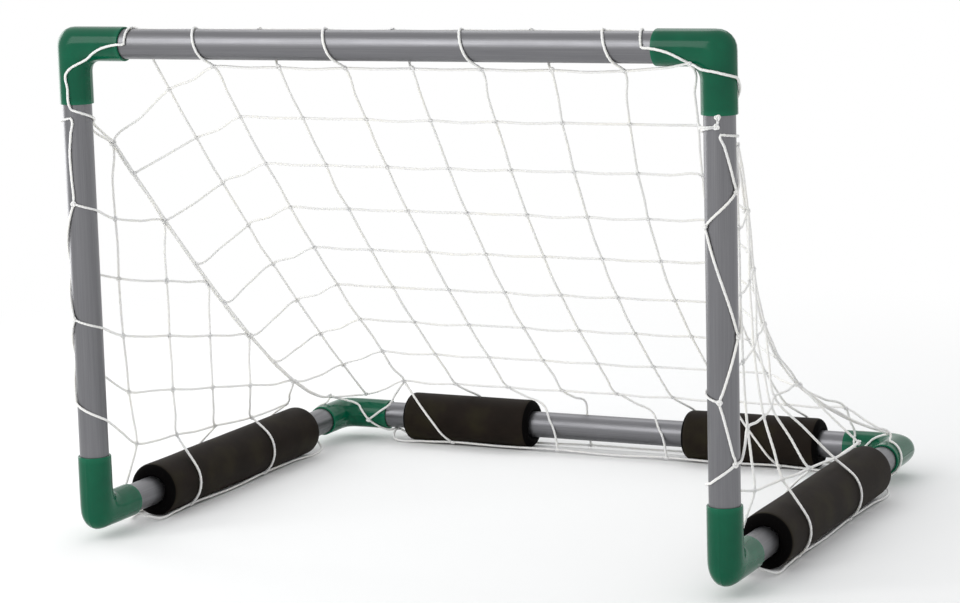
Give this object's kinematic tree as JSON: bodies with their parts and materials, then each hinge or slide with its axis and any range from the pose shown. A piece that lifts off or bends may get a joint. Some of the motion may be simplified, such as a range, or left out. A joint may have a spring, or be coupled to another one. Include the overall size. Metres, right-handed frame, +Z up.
{
  "type": "pool soccer goal",
  "caption": "Small floating soccer goal: round tubes in moulded corner elbows, foam sleeves on the base and a knotted net with two side panels.",
  "frame": {"origin": "on the floor, under the middle of the whole goal's box; the floats' flat undersides lie at z = 0", "axes": "+Z up, +X along the crossbar, -Y out of the goal's mouth, +Y towards the rear tube"},
  "size_m": [0.6234, 0.4992, 0.4383],
  "materials": {
    "tube": "satin",
    "elbow": "gloss",
    "foam": "matte",
    "net_cord": "matte"
  },
  "bodies": {
    "frame": {"crossbar": "tube", "post_left": "tube", "post_right": "tube", "side_tube_left": "tube", "side_tube_right": "tube", "rear_tube": "tube", "elbow_top_left": "elbow", "elbow_top_right": "elbow", "elbow_front_left": "elbow", "elbow_front_right": "elbow", "elbow_rear_left": "elbow", "elbow_rear_right": "elbow", "net_back": "net_cord", "net_left": "net_cord", "net_right": "net_cord"},
    "float_side_left": {"float_side_left": "foam"},
    "float_side_right": {"float_side_right": "foam"},
    "float_rear_left": {"float_rear_left": "foam"},
    "float_rear_right": {"float_rear_right": "foam"}
  },
  "joints": [
    {"name": "side_left_slide", "type": "slide", "parent": "frame", "child": "float_side_left", "axis": [0, 1, 0], "range_m": [-0.012, 0.012]},
    {"name": "side_right_slide", "type": "slide", "parent": "frame", "child": "float_side_right", "axis": [0, 1, 0], "range_m": [-0.012, 0.012]},
    {"name": "rear_left_slide", "type": "slide", "parent": "frame", "child": "float_rear_left", "axis": [1, 0, 0], "range_m": [-0.009, 0.009]},
    {"name": "rear_right_slide", "type": "slide", "parent": "frame", "child": "float_rear_right", "axis": [1, 0, 0], "range_m": [-0.009, 0.009]}
  ]
}
